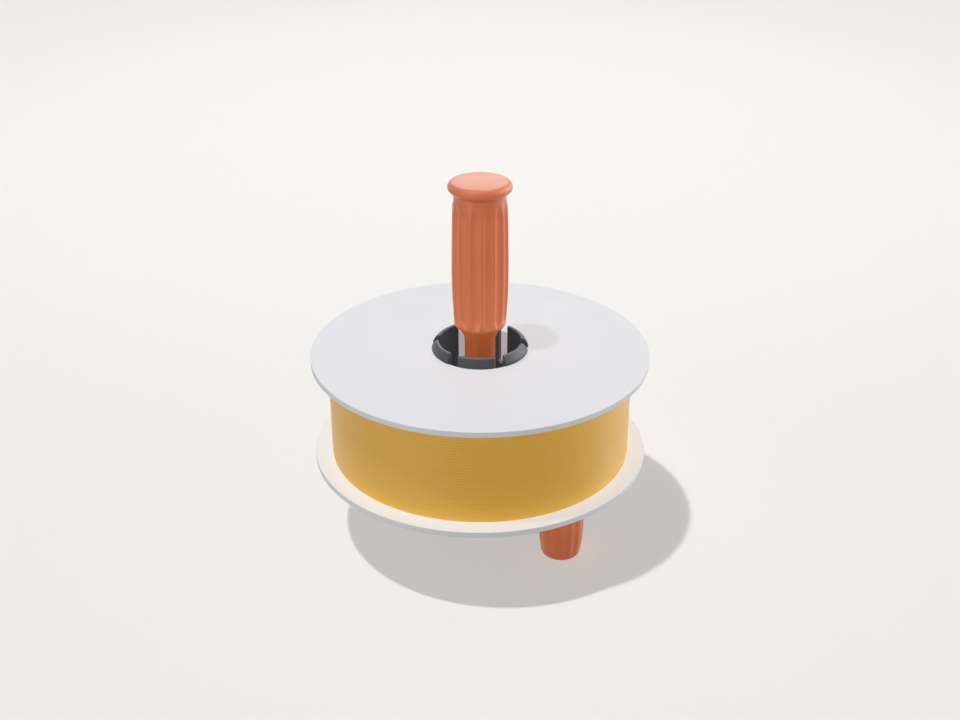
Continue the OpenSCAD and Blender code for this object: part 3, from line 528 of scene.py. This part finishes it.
def moulded_plastic(name, tint, cloud, gloss, grain_depth, specular=0.5, coat=0.0):
    """Moulded plastic in a colour that clouds into a share of itself, with a smoother skin where coat is
    over 0."""
    material, nodes, links, surface = new_material(name)
    skin = nodes.new("ShaderNodeGroup")
    skin.node_tree = moulded_skin()
    skin.inputs["Color"].default_value = (*tint, 1)
    skin.inputs["Cloud Color"].default_value = (*(np.array(tint) * cloud), 1)
    skin.inputs["Gloss Low"].default_value = gloss[0]
    skin.inputs["Gloss High"].default_value = gloss[1]
    skin.inputs["Grain Depth"].default_value = grain_depth
    links.new(skin.outputs["Color"], surface.inputs["Base Color"])
    links.new(skin.outputs["Roughness"], surface.inputs["Roughness"])
    links.new(skin.outputs["Normal"], surface.inputs["Normal"])
    surface.inputs["Specular IOR Level"].default_value = specular
    surface.inputs["Coat Weight"].default_value = coat
    surface.inputs["Coat Roughness"].default_value = COAT_ROUGHNESS
    return material


def metal(name, tint, gloss, grain_depth):
    """Bare or plated metal, with the same clouding and grain as a worked surface."""
    material = moulded_plastic(name, tint, cloud=0.9, gloss=gloss, grain_depth=grain_depth)
    material.node_tree.nodes["Principled BSDF"].inputs["Metallic"].default_value = 1
    return material


def finish_material(slot):
    """The finish of a slot in the record, made once from the scene's settings. The frame brings plain
    materials that have the slots' own names, so the finishes have names of their own."""
    name = slot + "_finish"
    if name in bpy.data.materials:
        return bpy.data.materials[name]
    scene = bpy.context.scene
    makers = {
        "orange_plastic": lambda: moulded_plastic(
            name, scene.winder_grip.tint, cloud=0.93, gloss=(0.36, 0.46), grain_depth=0.012 * MM,
            specular=0.7, coat=0.38
        ),
        "grey_plastic": lambda: moulded_plastic(
            name, scene.winder_hub.tint, cloud=0.9, gloss=(0.34, 0.44), grain_depth=0.015 * MM
        ),
        "white_plastic": lambda: moulded_plastic(
            name, scene.winder_spool.white, cloud=0.985, gloss=(0.5, 0.58), grain_depth=0.008 * MM,
            specular=0.6
        ),
        "plated_steel": lambda: metal(name, (0.55, 0.56, 0.57), gloss=(0.28, 0.42), grain_depth=0.008 * MM),
        "bearing_steel": lambda: metal(name, (0.62, 0.63, 0.65), gloss=(0.12, 0.2), grain_depth=0.002 * MM),
        "cage_steel": lambda: metal(name, (0.42, 0.43, 0.44), gloss=(0.3, 0.42), grain_depth=0.006 * MM),
        "shield_steel": lambda: metal(name, (0.38, 0.39, 0.41), gloss=(0.26, 0.36), grain_depth=0.005 * MM),
        "bush_bronze": lambda: metal(name, (0.5, 0.33, 0.15), gloss=(0.4, 0.55), grain_depth=0.015 * MM),
        "gold_filament": lambda: wound_filament(
            name, scene.winder_spool.gold, cloud=0.97, gloss=(0.4, 0.46), coat=0.4
        ),
    }
    return makers[slot]()


def wound_filament(name, tint, cloud, gloss, coat):
    """Wound filament with a silky gloss: fine streaks along each turn vary its colour, down to a share of
    itself, and its gloss."""
    material, nodes, links, surface = new_material(name)
    place = nodes.new("ShaderNodeTexCoord")
    stretch = nodes.new("ShaderNodeMapping")
    stretch.inputs["Scale"].default_value = STREAK_SCALE
    links.new(place.outputs["Object"], stretch.inputs["Vector"])
    streaks = noise(nodes, links, stretch.outputs["Vector"], scale=1, detail=3, roughness=0.6)
    share = spread(nodes, links, streaks, 0.0, 1.0)
    colour_at = mix_colours(nodes, links, share, tint, np.array(tint) * cloud)
    links.new(colour_at, surface.inputs["Base Color"])
    links.new(spread(nodes, links, streaks, *gloss), surface.inputs["Roughness"])
    surface.inputs["Coat Weight"].default_value = coat
    surface.inputs["Coat Roughness"].default_value = COAT_ROUGHNESS
    return material


def dress_node(node, slot):
    """Gives a CAD node the finish of its slot."""
    piece = frame["nodes"][node]
    piece.data.materials.clear()
    piece.data.materials.append(finish_material(slot))


class WINDER_OT_grip(bpy.types.Operator):
    """Make the fluted hand grip with its neck, and its end cap"""

    bl_idname = "winder.make_grip"
    bl_label = "Hand grip"

    def execute(self, context):
        sizes = context.scene.winder_grip
        self.make_barrel(sizes)
        self.make_cap(sizes)
        return {"FINISHED"}

    def make_barrel(self, sizes):
        """The outline runs from the well's mouth down the outside to the neck's foot and up the bore."""
        top = sizes.long / 2
        foot = -top
        under_collar = top - sizes.collar_height
        shoulder = under_collar - sizes.step
        widest = foot + sizes.widest
        neck_foot = low_of("grip_body").z
        upper = barrel(sizes.radius, sizes.shoulder, widest, shoulder, steps=60)[::-1]
        lower = barrel(sizes.radius, sizes.foot, widest, foot + sizes.foot_round, steps=50)[1:]
        edge = arc((sizes.foot - sizes.foot_round, foot + sizes.foot_round), sizes.foot_round, 0, -90)[1:]
        smooth_top = np.array([[sizes.well, top], [sizes.collar, top], [sizes.collar, under_collar]])
        below = np.array([
            [sizes.cone, foot],
            [sizes.neck, foot - sizes.cone_height],
            [sizes.neck, neck_foot],
            [sizes.bore, neck_foot],
            [sizes.bore, top - sizes.well_depth],
            [sizes.well, top - sizes.well_depth],
        ])
        outline = np.vstack([smooth_top, upper, lower, edge, below])
        flute_ends = foot + sizes.flute_foot, under_collar - sizes.flute_top
        depth = sizes.flute_depth * run_out(outline[:, 1], *flute_ends, sizes.flute_fade)
        depth[:len(smooth_top)] = 0
        depth[-len(below):] = 0
        mesh = fluted_mesh("grip", outline, depth, sizes)
        add_piece("grip", mesh, "handle", "orange_plastic", "grip_body")

    def make_cap(self, sizes):
        """The outline has a spigot in the grip's well, a flared underside, a round rim and a domed top. The
        rim's circle touches the dome's circle from inside."""
        low, high = low_of("grip_end_cap").z, high_of("grip_end_cap")
        top, rim = sizes.long / 2, high.x
        flat = rim - sizes.cap_edge
        dome = (rim ** 2 + sizes.cap_dome ** 2) / (2 * sizes.cap_dome)
        rise = math.sqrt((dome - sizes.cap_edge) ** 2 - flat ** 2)
        meet = math.degrees(math.atan2(rise, flat))
        flare = math.degrees(math.atan((rim - sizes.collar) / (sizes.cap_flare - sizes.cap_collar)))
        flare_centre = (rim - sizes.cap_flare_round, top + sizes.cap_flare)
        edge_centre = (flat, high.z - dome + rise)
        spigot = sizes.well - sizes.spigot_gap
        collar_top = top + sizes.cap_collar
        outline = np.vstack([
            [[0, low], [spigot, low], [spigot, top], [sizes.collar, top], [sizes.collar, collar_top]],
            arc(flare_centre, sizes.cap_flare_round, -flare, 0),
            arc(edge_centre, sizes.cap_edge, 0, meet, steps=24),
            arc((0, high.z - dome), dome, meet, 90, steps=16)[1:],
        ])
        add_piece("end_cap", turned_mesh("end_cap", outline), "handle", "orange_plastic", "grip_end_cap")


class WINDER_OT_knob(bpy.types.Operator):
    """Make the fluted crank knob"""

    bl_idname = "winder.make_knob"
    bl_label = "Crank knob"

    def execute(self, context):
        sizes = context.scene.winder_knob
        low, high = low_of("knob_body").z, high_of("knob_body").z
        middle = (low + high) / 2
        bush_seat = high_of("knob_lower_bush").z - sizes.bush
        upper = barrel(sizes.radius, sizes.end, middle, high - sizes.edge, steps=30)[::-1]
        lower = barrel(sizes.radius, sizes.end, middle, low + sizes.edge, steps=30)[1:]
        top_edge = arc((sizes.end - sizes.edge, high - sizes.edge), sizes.edge, 90, 0)[:-1]
        low_edge = arc((sizes.end - sizes.edge, low + sizes.edge), sizes.edge, 0, -90)[1:]
        inner = np.array([
            [sizes.well, low], [sizes.well, bush_seat], [sizes.bore, bush_seat], [sizes.bore, high]
        ])
        outline = np.vstack([top_edge, upper, lower, low_edge, inner])
        flute_ends = low + sizes.flute_end, high - sizes.flute_end
        depth = sizes.flute_depth * run_out(outline[:, 1], *flute_ends, sizes.flute_fade)
        depth[-len(inner):] = 0
        mesh = fluted_mesh("knob", outline, depth, sizes, around_a_flute=30, centre=KNOB_AXIS[:2])
        add_piece("knob", mesh, "knob", "orange_plastic", "knob_body")
        return {"FINISHED"}


class WINDER_OT_spool(bpy.types.Operator):
    """Make the spool's two flanges"""

    bl_idname = "winder.make_spool"
    bl_label = "Spool"

    def execute(self, context):
        sizes = context.scene.winder_spool
        drum = high_of("spool_drum").x
        for node, way in (("spool_top_flange", -1), ("spool_bottom_flange", 1)):
            low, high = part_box(node)
            outer, inner = (high.z, low.z) if way < 0 else (low.z, high.z)
            groove = inner - way * sizes.groove_depth
            groove_out, groove_in = drum + sizes.groove_gap, drum - sizes.drum_wall - sizes.groove_gap
            outline = rounded_outline([
                (sizes.bore, outer, sizes.edge),
                (high.x, outer, sizes.edge),
                (high.x, inner, sizes.edge),
                (groove_out, inner, 0),
                (groove_out, groove, 0),
                (groove_in, groove, 0),
                (groove_in, inner, 0),
                (sizes.bore, inner, 0),
            ])
            name = node.replace("spool_", "")
            add_piece(name, turned_mesh(name, outline, around=360), "spool", "white_plastic", node)
        return {"FINISHED"}


class WINDER_OT_filament(bpy.types.Operator):
    """Wind the outer layer of filament round the layers below it"""

    bl_idname = "winder.make_filament"
    bl_label = "Filament"

    def execute(self, context):
        sizes = context.scene.winder_spool
        self.make_layers(sizes)
        self.make_winding(sizes)
        return {"FINISHED"}

    def make_layers(self, sizes):
        """The layers below: a ring from the drum to just under the outer turns."""
        low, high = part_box("filament_core")
        drum = high_of("spool_drum").x
        outer = high_of("filament_outer_layer").x - sizes.proud
        outline = np.array([[drum, low.z], [outer, low.z], [outer, high.z], [drum, high.z]])
        mesh = turned_mesh("filament_layers", outline)
        add_piece("filament_layers", mesh, "spool", "gold_filament", "filament_core")

    def make_winding(self, sizes):
        """The outer layer: a tube along a helix, with its centre at radius R, height top - pitch a / 2 pi
        and turn a from the back, and its section a circle in the plane of the axle. Both ends dip into the
        layers below."""
        core_low, core_high = low_of("filament_core").z, high_of("filament_core").z
        half = sizes.strand / 2
        turns = round((core_high - core_low) / sizes.strand)
        pitch = (core_high - core_low - sizes.strand) / (turns - 1)
        per_turn, sides = 132, 10
        a = 2 * np.pi * np.arange((turns - 1) * per_turn + 1) / per_turn
        centre_r = np.full(len(a), high_of("filament_outer_layer").x - half)
        centre_r[0] -= sizes.strand
        centre_r[-1] -= sizes.strand
        centre_z = core_high - half - pitch * a / (2 * np.pi)
        round_strand = 2 * np.pi * np.arange(sides) / sides
        r = centre_r[:, None] + half * np.cos(round_strand)
        z = centre_z[:, None] + half * np.sin(round_strand)
        points = round_axis(r, a[:, None] + np.pi, z)
        faces = np.vstack([grid_faces(len(a), sides, False), end_faces(len(a), sides)])
        mesh = mesh_from("filament_winding", points, faces)
        add_piece("filament_winding", mesh, "spool", "gold_filament", "filament_outer_layer")


def claw_outline(sizes, rim, foot, slot_end):
    """The two sides of a claw's section as points (r, z) of equal number, from the middle of its crown down
    to its foot. The outer side's slope is the straight way u from the crown to the hook, pushed outwards
    by bulge sin(pi u). The inner side is the bore, rounded at the crown."""
    bore = sizes.radius - sizes.wall
    hook_low = high_of("spool_top_flange").z + sizes.hook_gap
    top = np.array([bore + sizes.crown, rim])
    end = np.array([sizes.radius + sizes.hook, hook_low + sizes.hook_edge])
    u = np.linspace(0, 1, num=13)[:, None]
    outwards = np.array([top[1] - end[1], end[0] - top[0]]) / np.linalg.norm(end - top)
    slope = top + (end - top) * u + sizes.bulge * np.sin(np.pi * u) * outwards
    lip = arc((end[0] - sizes.hook_round, hook_low + sizes.hook_round), sizes.hook_round, 0, -90, steps=5)
    straight = np.linspace(hook_low, slot_end, num=8)
    low_end = slot_end - sizes.slot / 2 * np.sin(np.radians(np.linspace(0, 90, num=11)[1:]))
    wall_z = np.concatenate([straight, low_end, [foot]])
    wall = np.column_stack([np.full(len(wall_z), sizes.radius), wall_z])
    outer = np.vstack([[[bore + sizes.crown / 2, rim]], slope, lip, wall])
    below_rim = np.clip(rim - outer[:, 1], 0, sizes.edge)
    inner_r = bore + sizes.edge - np.sqrt(sizes.edge ** 2 - (sizes.edge - below_rim) ** 2)
    inner = np.column_stack([inner_r, outer[:, 1]])
    inner[0] = outer[0]
    return outer, inner


def claw(sizes, middle, rim, foot):
    """Points and faces of a claw whose section goes round the hub's axle. At each height its sides stand w
    from the slots' middle planes: w is half the slot, w0, down to the middle of its round end, and
    sqrt(w0^2 - dz^2) at dz below that. So the claw's half-angle is half a pitch less asin(w / r). Towards
    both sides a quarter circle rounds the section off."""
    slot_end = high_of("spool_top_flange").z - sizes.slot_depth
    outer, inner = claw_outline(sizes, rim, foot, slot_end)
    loop = np.vstack([outer, inner[::-1]])
    along = np.roll(loop, -1, axis=0) - np.roll(loop, 1, axis=0)
    inwards = np.column_stack([along[:, 1], -along[:, 0]]) / np.linalg.norm(along, axis=1)[:, None]
    half_slot = sizes.slot / 2
    w = np.sqrt(np.maximum(half_slot ** 2 - np.maximum(slot_end - loop[:, 1], 0) ** 2, 0))
    rounding = sizes.edge * w / half_slot
    quarter = np.radians(np.linspace(90, 0, num=5))
    between = np.linspace(-1, 1, num=25)[1:-1]
    way = np.concatenate([np.full(len(quarter), -1), between, np.full(len(quarter), 1)])[:, None]
    inset = np.concatenate([1 - np.cos(quarter), np.zeros_like(between), 1 - np.cos(quarter[::-1])])
    from_side = np.concatenate([1 - np.sin(quarter), np.ones_like(between), 1 - np.sin(quarter[::-1])])
    r = loop[:, 0] + inset[:, None] * rounding * inwards[:, 0]
    z = loop[:, 1] + inset[:, None] * rounding * inwards[:, 1]
    a = middle + way * (np.pi / sizes.fingers - np.arcsin((w + from_side[:, None] * rounding) / r))
    faces = np.vstack([grid_faces(len(way), len(loop), False), end_faces(len(way), len(loop))])
    return round_axis(r, a, z), faces


class WINDER_OT_hub(bpy.types.Operator):
    """Make the hub's hooked claws, and give every CAD node that shows its finish"""

    bl_idname = "winder.dress_hub"
    bl_label = "Hub, bearings and crank"

    def execute(self, context):
        sizes = context.scene.winder_hub
        for node, place in CLAW_PLACES.items():
            low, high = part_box(node)
            middle = sizes.turn + 2 * math.pi * place / sizes.fingers
            points, faces = claw(sizes, middle, high.z, low.z)
            name = node.replace("snap_", "")
            add_piece(name, mesh_from(name, points, faces), "rotor", "grey_plastic", node)
        for part in frame["record"]["subparts"]:
            if not frame["nodes"][part["node"]].hide_render:
                dress_node(part["node"], part["material_slot"])
        return {"FINISHED"}


class WINDER_OT_stage(bpy.types.Operator):
    """Set the camera, the lamps, the floor and the backdrop"""

    bl_idname = "winder.set_stage"
    bl_label = "Stage"

    def execute(self, context):
        stage = context.scene.winder_stage
        self.set_camera(context, stage)
        self.set_lamps(context, stage)
        self.set_world(context, stage)
        self.set_floor(context, stage)
        context.scene.view_settings.view_transform = "Standard"
        return {"FINISHED"}

    def set_camera(self, context, stage):
        camera = bpy.data.objects.new("camera", bpy.data.cameras.new("camera"))
        context.scene.collection.objects.link(camera)
        camera.data.sensor_width = SENSOR_WIDTH
        camera.data.lens = stage.lens
        aim = Vector((0, 0, -stage.aim))
        back = Vector((0, -math.cos(stage.elevation), math.sin(stage.elevation)))
        camera.location = aim + back * stage.distance
        camera.rotation_euler = (-back).to_track_quat("-Z", "Y").to_euler()
        context.scene.camera = camera

    def set_lamps(self, context, stage):
        """Every lamp is a distant one, so only the way towards it counts."""
        for name, setting, towards, width, casts_shadow in LAMPS:
            lamp = bpy.data.objects.new(name, bpy.data.lights.new(name, "SUN"))
            context.scene.collection.objects.link(lamp)
            lamp.data.energy = getattr(stage, setting)
            lamp.data.angle = math.radians(width)
            lamp.data.use_shadow = casts_shadow
            # A lamp without a shadow is only free of it everywhere if rays never find it by chance
            lamp.data.cycles.use_multiple_importance_sampling = casts_shadow
            lamp.rotation_euler = Vector(towards).to_track_quat("Z", "Y").to_euler()

    def set_world(self, context, stage):
        """The world lights the object evenly, and shows white to the camera, in gloss and through glass."""
        world = bpy.data.worlds.new("studio")
        context.scene.world = world
        world.use_nodes = True
        nodes, links = world.node_tree.nodes, world.node_tree.links
        ambient = nodes["Background"]
        ambient.inputs["Strength"].default_value = stage.ambient
        ambient.inputs["Color"].default_value = WHITE
        backdrop = nodes.new("ShaderNodeBackground")
        backdrop.inputs["Color"].default_value = WHITE
        mix = nodes.new("ShaderNodeMixShader")
        links.new(seen_directly(nodes, links), mix.inputs["Fac"])
        links.new(ambient.outputs["Background"], mix.inputs[1])
        links.new(backdrop.outputs["Background"], mix.inputs[2])
        links.new(mix.outputs["Shader"], nodes["World Output"].inputs["Surface"])

    def set_floor(self, context, stage):
        """A floor with a painted pool of light behind the object and painted shade towards its edges, and that
        lights the object less than it shows. One share of the key light falls on it alone."""
        mesh = bpy.data.meshes.new("floor")
        reach, height = stage.floor_reach, CAD_BOX[0][2]
        sides = [(-reach, -reach), (reach, -reach), (reach, reach), (-reach, reach)]
        mesh.from_pydata([(x, y, height) for x, y in sides], [], [(0, 1, 2, 3)])
        floor = bpy.data.objects.new("floor", mesh)
        context.scene.collection.objects.link(floor)
        material, nodes, links, surface = new_material("floor")
        place = nodes.new("ShaderNodeTexCoord").outputs["Object"]
        away = nodes.new("ShaderNodeVectorMath")
        away.operation = "DISTANCE"
        links.new(place, away.inputs[0])
        away.inputs[1].default_value = (0, stage.painted_light_depth, height)
        # Painted light: by its distance from the patch's middle, the floor's colour goes from its full-light
        # colour to the darker edge colour, a painted falloff of the light
        painted_falloff = nodes.new("ShaderNodeMapRange")
        painted_falloff.interpolation_type = "SMOOTHSTEP"
        painted_falloff.inputs["From Min"].default_value = stage.painted_light_radius
        painted_falloff.inputs["From Max"].default_value = stage.painted_light_end
        links.new(away.outputs["Value"], painted_falloff.inputs["Value"])
        shade = mix_colours(nodes, links, painted_falloff.outputs["Result"], stage.floor, stage.floor_painted_shade)
        seen = mix_colours(nodes, links, seen_directly(nodes, links), stage.bounce, shade)
        links.new(seen, surface.inputs["Base Color"])
        surface.inputs["Roughness"].default_value = 1
        surface.inputs["Specular IOR Level"].default_value = 0
        mesh.materials.append(material)
        lit_by_floor_key = bpy.data.collections.new("lit_by_floor_key")
        lit_by_floor_key.objects.link(floor)
        bpy.data.objects["floor_key"].light_linking.receiver_collection = lit_by_floor_key


class WINDER_PT_panel(bpy.types.Panel):
    """Lists the winder's settings and operators"""

    bl_label = "Filament spool winder"
    bl_idname = "WINDER_PT_panel"
    bl_space_type = "VIEW_3D"
    bl_region_type = "UI"
    bl_category = "Winder"

    def draw(self, context):
        for operator, settings in STEPS:
            box = self.layout.box()
            box.operator(operator.bl_idname)
            group = getattr(context.scene, settings)
            for name in group.bl_rna.properties.keys():
                if name not in ("rna_type", "name"):
                    box.prop(group, name)


SETTINGS = {
    "winder_grip": WinderGrip,
    "winder_knob": WinderKnob,
    "winder_spool": WinderSpool,
    "winder_hub": WinderHub,
    "winder_stage": WinderStage,
}
STEPS = [
    (WINDER_OT_stage, "winder_stage"),
    (WINDER_OT_grip, "winder_grip"),
    (WINDER_OT_knob, "winder_knob"),
    (WINDER_OT_spool, "winder_spool"),
    (WINDER_OT_filament, "winder_spool"),
    (WINDER_OT_hub, "winder_hub"),
]
CLASSES = [*SETTINGS.values(), *(operator for operator, _ in STEPS), WINDER_PT_panel]


def register():
    """Registers the classes and hangs each group of settings on the scene."""
    for item in CLASSES:
        bpy.utils.register_class(item)
    for name, group in SETTINGS.items():
        setattr(bpy.types.Scene, name, PointerProperty(type=group))


def unregister():
    """Takes the settings and the classes away again."""
    for name in SETTINGS:
        delattr(bpy.types.Scene, name)
    for item in reversed(CLASSES):
        bpy.utils.unregister_class(item)


def main():
    """Registers the add-on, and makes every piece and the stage."""
    register()
    for operator, _ in STEPS:
        group, call = operator.bl_idname.split(".")
        getattr(getattr(bpy.ops, group), call)()


if __name__ == "__main__":
    main()
